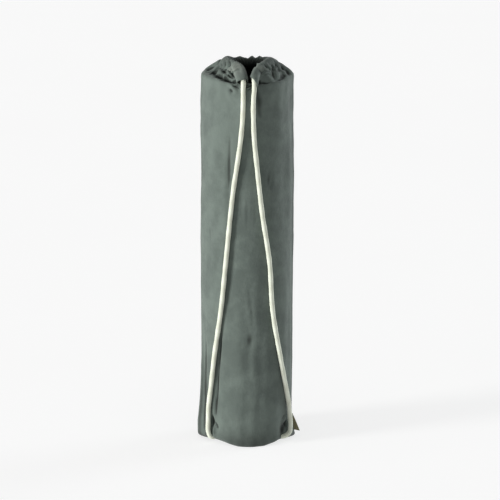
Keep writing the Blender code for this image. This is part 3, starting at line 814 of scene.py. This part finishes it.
def makeCasing():
    # the tube of cloth round the cord, open at its two ends
    turn = np.concatenate([np.linspace(3, 9, 9)[:-1], np.linspace(9, 351, 500), np.linspace(351, 357, 9)[1:]])
    angle = np.linspace(0, 2 * np.pi, 49)[:-1, None]
    grid = casingLoop(turn, angle)
    outward = unit(grid - mouthLine(turn))
    tilt = math.radians(photo["elevation"])
    facing = fade(-0.1, 0.3, outward @ np.array([0, -math.cos(tilt), math.sin(tilt)]))
    grid = grid - outward * (seenPress(grid, ruffle["folds"]) * facing)[..., None]
    # the inside of the mouth lies in its own shade
    inward = unit(np.array(mouth["middle"]) - mouthLine(turn))
    inside = fade(0.0, 0.9, (outward * inward).sum(axis=-1)) * bump(wrapTurn(turn - 180), 150)
    casing = meshFrom("casing", grid.transpose(1, 0, 2), gridFaces(len(turn), len(angle), True))
    across = np.radians(turn)[:, None] * bag["radius"] + 0 * angle.T
    uvFrom(casing, across, ruffle["clothFoot"] + ruffle["cloth"] * angle.T / (2 * np.pi) + 0 * across)
    # its front ends catch the light, its back doesn't
    back = fade(26, 60, np.abs(wrapTurn(turn + 6)))
    shade = ruffle["foldShade"] * foldShade(grid, False) + ruffle["insideShade"] * inside + ruffle["backShade"] * back
    for middle, spread, amount in ruffle["lit"]:
        shade = shade - amount * bump(wrapTurn(turn - middle), spread)
    # painted shade in the folds, inside the mouth and along the back, and painted highlight on the front ends, stored
    # for the material
    addValue(casing, "paintedShadeAndLight", np.clip(shade, -1, 1).transpose(1, 0))
    wall(casing, bag["thickness"])
    return casing


casing = makeCasing()
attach(casing, "root")
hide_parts("drawstring_casing")
print("casing made")


# the folded label of tape in the right side seam
tag = {
    "turn": 82.5, "foot": 0.013, "height": 0.028, "reach": 0.0135, "root": 0.0772, "thickness": 0.0007,
    "loop": 0.0011, "sag": 0.0022, "curl": 0.0012,
}


def makeTag():
    # around the fold, 0 to 1 from one sewn edge over the fold to the other; down, 0 to 1 along the seam
    around = np.linspace(0, 1, 41)[:, None]
    down = np.linspace(0, 1, 25)[None, :]
    reach = tag["reach"] * (0.06 + 0.94 * down)
    out = reach * (1 - np.abs(2 * around - 1) ** 3.0)
    apart = tag["loop"] * np.sign(around - 0.5) * np.sin(np.pi * np.abs(2 * around - 1)) ** 0.5
    sag = -tag["sag"] * out / tag["reach"] * down
    curl = tag["curl"] * np.sin(2.2 * down + 0.6) * out / tag["reach"]
    radius = tag["root"] + out
    angle = math.radians(tag["turn"])
    height = tag["foot"] + tag["height"] * (1 - down) + sag
    x = radius * math.sin(angle) + (apart + curl) * math.cos(angle)
    y = -radius * math.cos(angle) + (apart + curl) * math.sin(angle)
    grid = np.stack(np.broadcast_arrays(x, y, height), axis=-1)
    label = meshFrom("side_label", grid, gridFaces(grid.shape[0], grid.shape[1], False))
    uvFrom(label, tag["reach"] * 2 * around + 0 * down, tag["height"] * down + 0 * around)
    wall(label, tag["thickness"])
    return label


label = makeTag()
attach(label, "root")
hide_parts("side_tag")
print("label made")


class Wire:
    # a shader socket in an expression: + and * add Math nodes, and a number may stand on either side
    def __init__(self, tree, socket):
        self.tree = tree
        self.socket = socket

    def maths(self, operation, first, second=None):
        node = self.tree.nodes.new("ShaderNodeMath")
        node.operation = operation
        for place, value in enumerate((first, second)):
            if isinstance(value, Wire):
                self.tree.links.new(value.socket, node.inputs[place])
            elif value is not None:
                node.inputs[place].default_value = value
        return Wire(self.tree, node.outputs[0])

    def __add__(self, other):
        return self.maths("ADD", self, other)

    def __mul__(self, other):
        return self.maths("MULTIPLY", self, other)

    __radd__ = __add__
    __rmul__ = __mul__


class Finish:
    # one material; node() adds any node from its type, its settings and the values or links of its sockets
    def __init__(self, name):
        self.material = bpy.data.materials.new(name)
        self.material.use_nodes = True
        self.tree = self.material.node_tree
        self.tree.nodes.clear()

    def node(self, kind, settings=None, inputs=None, output=0):
        node = self.tree.nodes.new("ShaderNode" + kind)
        setAll(node, settings or {})
        for key, value in (inputs or {}).items():
            if isinstance(value, Wire):
                self.tree.links.new(value.socket, node.inputs[key])
            else:
                node.inputs[key].default_value = value
        return Wire(self.tree, node.outputs[output]) if node.outputs else None

    def sine(self, value):
        return value.maths("SINE", value)

    def step(self, value, low, high):
        # a smooth 0 to 1 from low to high, which may lie below low
        inputs = {"Value": value, "From Min": low, "From Max": high}
        return self.node("MapRange", {"interpolation_type": "SMOOTHSTEP"}, inputs)

    def mix(self, factor, first, second):
        # inputs 6 and 7 and output 2 are the colour sockets of a Mix node
        return self.node("Mix", {"data_type": "RGBA"}, {0: factor, 6: first, 7: second}, output=2)

    def noise(self, place, scale, detail=3.0, roughness=0.5):
        inputs = {"Vector": place, "Scale": scale, "Detail": detail, "Roughness": roughness}
        return self.node("TexNoise", inputs=inputs)

    def coordinate(self, place, axis):
        # 0, 1 or 2 for x, y or z of a vector
        return self.node("SeparateXYZ", inputs={"Vector": place}, output=axis)

    def attribute(self, name):
        return self.node("Attribute", {"attribute_name": name}, output=2)

    def objectPlace(self):
        return self.node("TexCoord", output=3)

    def clothPlace(self):
        return self.node("UVMap", {"uv_map": "cloth"})

    def relief(self, height):
        return self.node("Bump", inputs={"Height": height, "Distance": 1.0, "Strength": 0.8})

    def finish(self, fixed, colour, roughness, normal):
        # fixed holds the sockets that are the same all over
        surface = {**fixed, "Base Color": colour, "Roughness": roughness, "Normal": normal}
        self.node("OutputMaterial", inputs={"Surface": self.node("BsdfPrincipled", inputs=surface)})
        return self.material


def colour(red, green, blue):
    # a colour given as the photograph shows it, 0 to 255, made linear
    share = np.array([red, green, blue]) / 255
    return (*[float(c) for c in np.where(share <= 0.04045, share / 12.92, ((share + 0.055) / 1.055) ** 2.4)], 1.0)


# sage cotton: the two tones of its mottle, worn threads, the painted shade of a deep fold and the painted highlight
# where the light catches it
clothLook = {
    "light": colour(97, 107, 101),
    "dark": colour(82, 91, 86),
    "worn": colour(112, 122, 117),
    "deep": colour(36, 40, 37),
    "paintedShadeShare": 0.84,
    "lit": colour(119, 126, 119),
    "litShare": 0.90,
    "thread": 0.00056,
    "weaveRelief": 0.00006,
    "threadRelief": 0.00004,
    "crumpleRelief": 0.0015,
    "sheen": 0.12,
}


def makeClothFinish(name, flat):
    # flat: the weave lies level, by object coordinates; otherwise it follows the cloth's own UV map
    finish = Finish(name)
    place = finish.objectPlace()
    uv = place if flat else finish.clothPlace()
    # plain weave: warp and weft threads pass over each other in turn, sine times sine
    turns = math.pi / clothLook["thread"]
    weave = finish.sine(finish.coordinate(uv, 0) * turns) * finish.sine(finish.coordinate(uv, 1) * turns)
    threads = finish.noise(uv, 900.0, 2.0)
    mottle = finish.noise(place, 34.0, 4.0, 0.6)
    cloud = finish.noise(place, 9.0, 2.0)
    crumple = finish.noise(place, 70.0, 4.0, 0.60)
    tone = finish.step(mottle * 0.55 + cloud * 0.45, 0.38, 0.62)
    base = finish.mix(tone, clothLook["dark"], clothLook["light"])
    base = finish.mix(finish.step(weave, -0.2, 1.0) * 0.10, base, clothLook["worn"])
    base = finish.mix(finish.step(threads, 0.45, 0.75) * 0.16, base, clothLook["dark"])
    # the painted shade and highlight of each point: 1 is full painted shade, in a deep fold or where the light hardly
    # reaches, -1 a painted highlight where the light catches it
    paintedShadeAndLight = finish.attribute("paintedShadeAndLight")
    base = finish.mix(finish.step(paintedShadeAndLight, 0.0, 1.0) * clothLook["paintedShadeShare"], base, clothLook["deep"])
    base = finish.mix(finish.step(paintedShadeAndLight, 0.0, -1.0) * clothLook["litShare"], base, clothLook["lit"])
    height = weave * clothLook["weaveRelief"] + threads * clothLook["threadRelief"]
    normal = finish.relief(height + crumple * clothLook["crumpleRelief"])
    fixed = {"Sheen Weight": clothLook["sheen"], "Sheen Roughness": 0.5, "Specular IOR Level": 0.25}
    return finish.finish(fixed, base, 0.80 + 0.10 * mottle, normal)


ropeLook = {"light": colour(227, 232, 218), "groove": colour(192, 195, 178), "fibreRelief": 0.00012}


def makeRopeFinish():
    # cream strands with painted shade in the grooves between them, and darker in faint patches
    finish = Finish("cream_cotton_rope")
    depth = finish.attribute("groove")
    fibres = finish.noise(finish.clothPlace(), 2600.0, 3.0, 0.6)
    patches = finish.noise(finish.objectPlace(), 60.0, 2.0)
    # painted shade: the grooves between the strands take the darker groove colour
    base = finish.mix(finish.step(depth, 0.55, 0.95), ropeLook["groove"], ropeLook["light"])
    base = finish.mix(finish.step(patches, 0.4, 0.8) * 0.25, base, ropeLook["groove"])
    fixed = {"Sheen Weight": 0.2, "Sheen Roughness": 0.5, "Specular IOR Level": 0.2}
    return finish.finish(fixed, base, 0.82 + 0.10 * fibres, finish.relief(fibres * ropeLook["fibreRelief"]))


tapeLook = {
    "light": colour(132, 127, 100), "dark": colour(112, 107, 82), "rib": colour(92, 88, 66), "ribPitch": 0.0006,
    "ribRelief": 0.00008, "threadRelief": 0.00004,
}


def makeTagFinish():
    # olive tape with ribs across it
    finish = Finish("olive_tape")
    uv = finish.clothPlace()
    ribs = finish.sine(finish.coordinate(uv, 1) * (math.pi / tapeLook["ribPitch"]))
    threads = finish.noise(uv, 1200.0, 2.0)
    base = finish.mix(finish.step(threads, 0.3, 0.8), tapeLook["dark"], tapeLook["light"])
    base = finish.mix(finish.step(ribs, 0.0, 1.0) * 0.25, base, tapeLook["rib"])
    normal = finish.relief(ribs * tapeLook["ribRelief"] + threads * tapeLook["threadRelief"])
    return finish.finish({"Sheen Weight": 0.08, "Specular IOR Level": 0.25}, base, 0.78 + 0.08 * threads, normal)


clothFinish = makeClothFinish("sage_cotton", False)
for piece, finish in (
    (bagCloth, clothFinish), (casing, clothFinish), (rope, makeRopeFinish()), (label, makeTagFinish()),
):
    piece.data.materials.append(finish)
# the base panel keeps its own shape, out of sight under the bag
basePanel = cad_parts["base_panel"]
basePanel.data.materials.clear()
basePanel.data.materials.append(makeClothFinish("base_cotton", True))


studio = {
    # name, power, angular size, azimuth from the front, positive to the right, elevation, tint
    "lights": [
        ("key", 4.05, 16, -66, 6.5, (1.0, 1.0, 0.98)),
        ("rim", 2.5, 30, 122, 5, (0.93, 0.98, 1.0)),
        ("top", 0.6, 60, -10, 80, (1.0, 1.0, 1.0)),
    ],
    "worldStrength": 0.16,
    "floorReach": 30,
    "floorTones": [(0.39, 0.39, 0.39, 1), (0.41, 0.41, 0.41, 1)],
    "floorGlow": 0.71,
}


def makeLight(name, power, size, azimuth, elevation, tint):
    # a broad sun that shines on the bag from its azimuth and elevation
    data = bpy.data.lights.new(name, "SUN")
    data.energy = power
    data.color = tint
    data.angle = math.radians(size)
    light = bpy.data.objects.new(name, data)
    bpy.context.scene.collection.objects.link(light)
    light.rotation_euler = (math.radians(90 - elevation), 0, math.radians(azimuth))


for row in studio["lights"]:
    makeLight(*row)

world = bpy.data.worlds.new("studio")
world.use_nodes = True
background = world.node_tree.nodes["Background"]
background.inputs["Color"].default_value = (1.0, 1.0, 1.0, 1.0)
background.inputs["Strength"].default_value = studio["worldStrength"]
bpy.context.scene.world = world
bpy.context.scene.view_settings.view_transform = "Standard"


def makeFloor():
    # one wide square of white paper, which glows so that it meets the backdrop
    reach = np.array([-1, 1]) * studio["floorReach"]
    x, y = np.meshgrid(reach, reach)
    floor = meshFrom("floor", np.stack([x, y, 0 * x], axis=-1).astype(float), gridFaces(2, 2, False))
    finish = Finish("floor_white")
    grain = finish.noise(finish.objectPlace(), 3.0, 2.0)
    flat = finish.node("Bump", inputs={"Height": grain, "Distance": 0.0001})
    fixed = {
        "Specular IOR Level": 0.0, "Emission Color": (1.0, 1.0, 1.0, 1.0), "Emission Strength": studio["floorGlow"],
    }
    tone = finish.mix(grain, *studio["floorTones"])
    floor.data.materials.append(finish.finish(fixed, tone, 0.9 + 0.02 * grain, flat))
    return floor


makeFloor()
print("materials, lights and floor set")
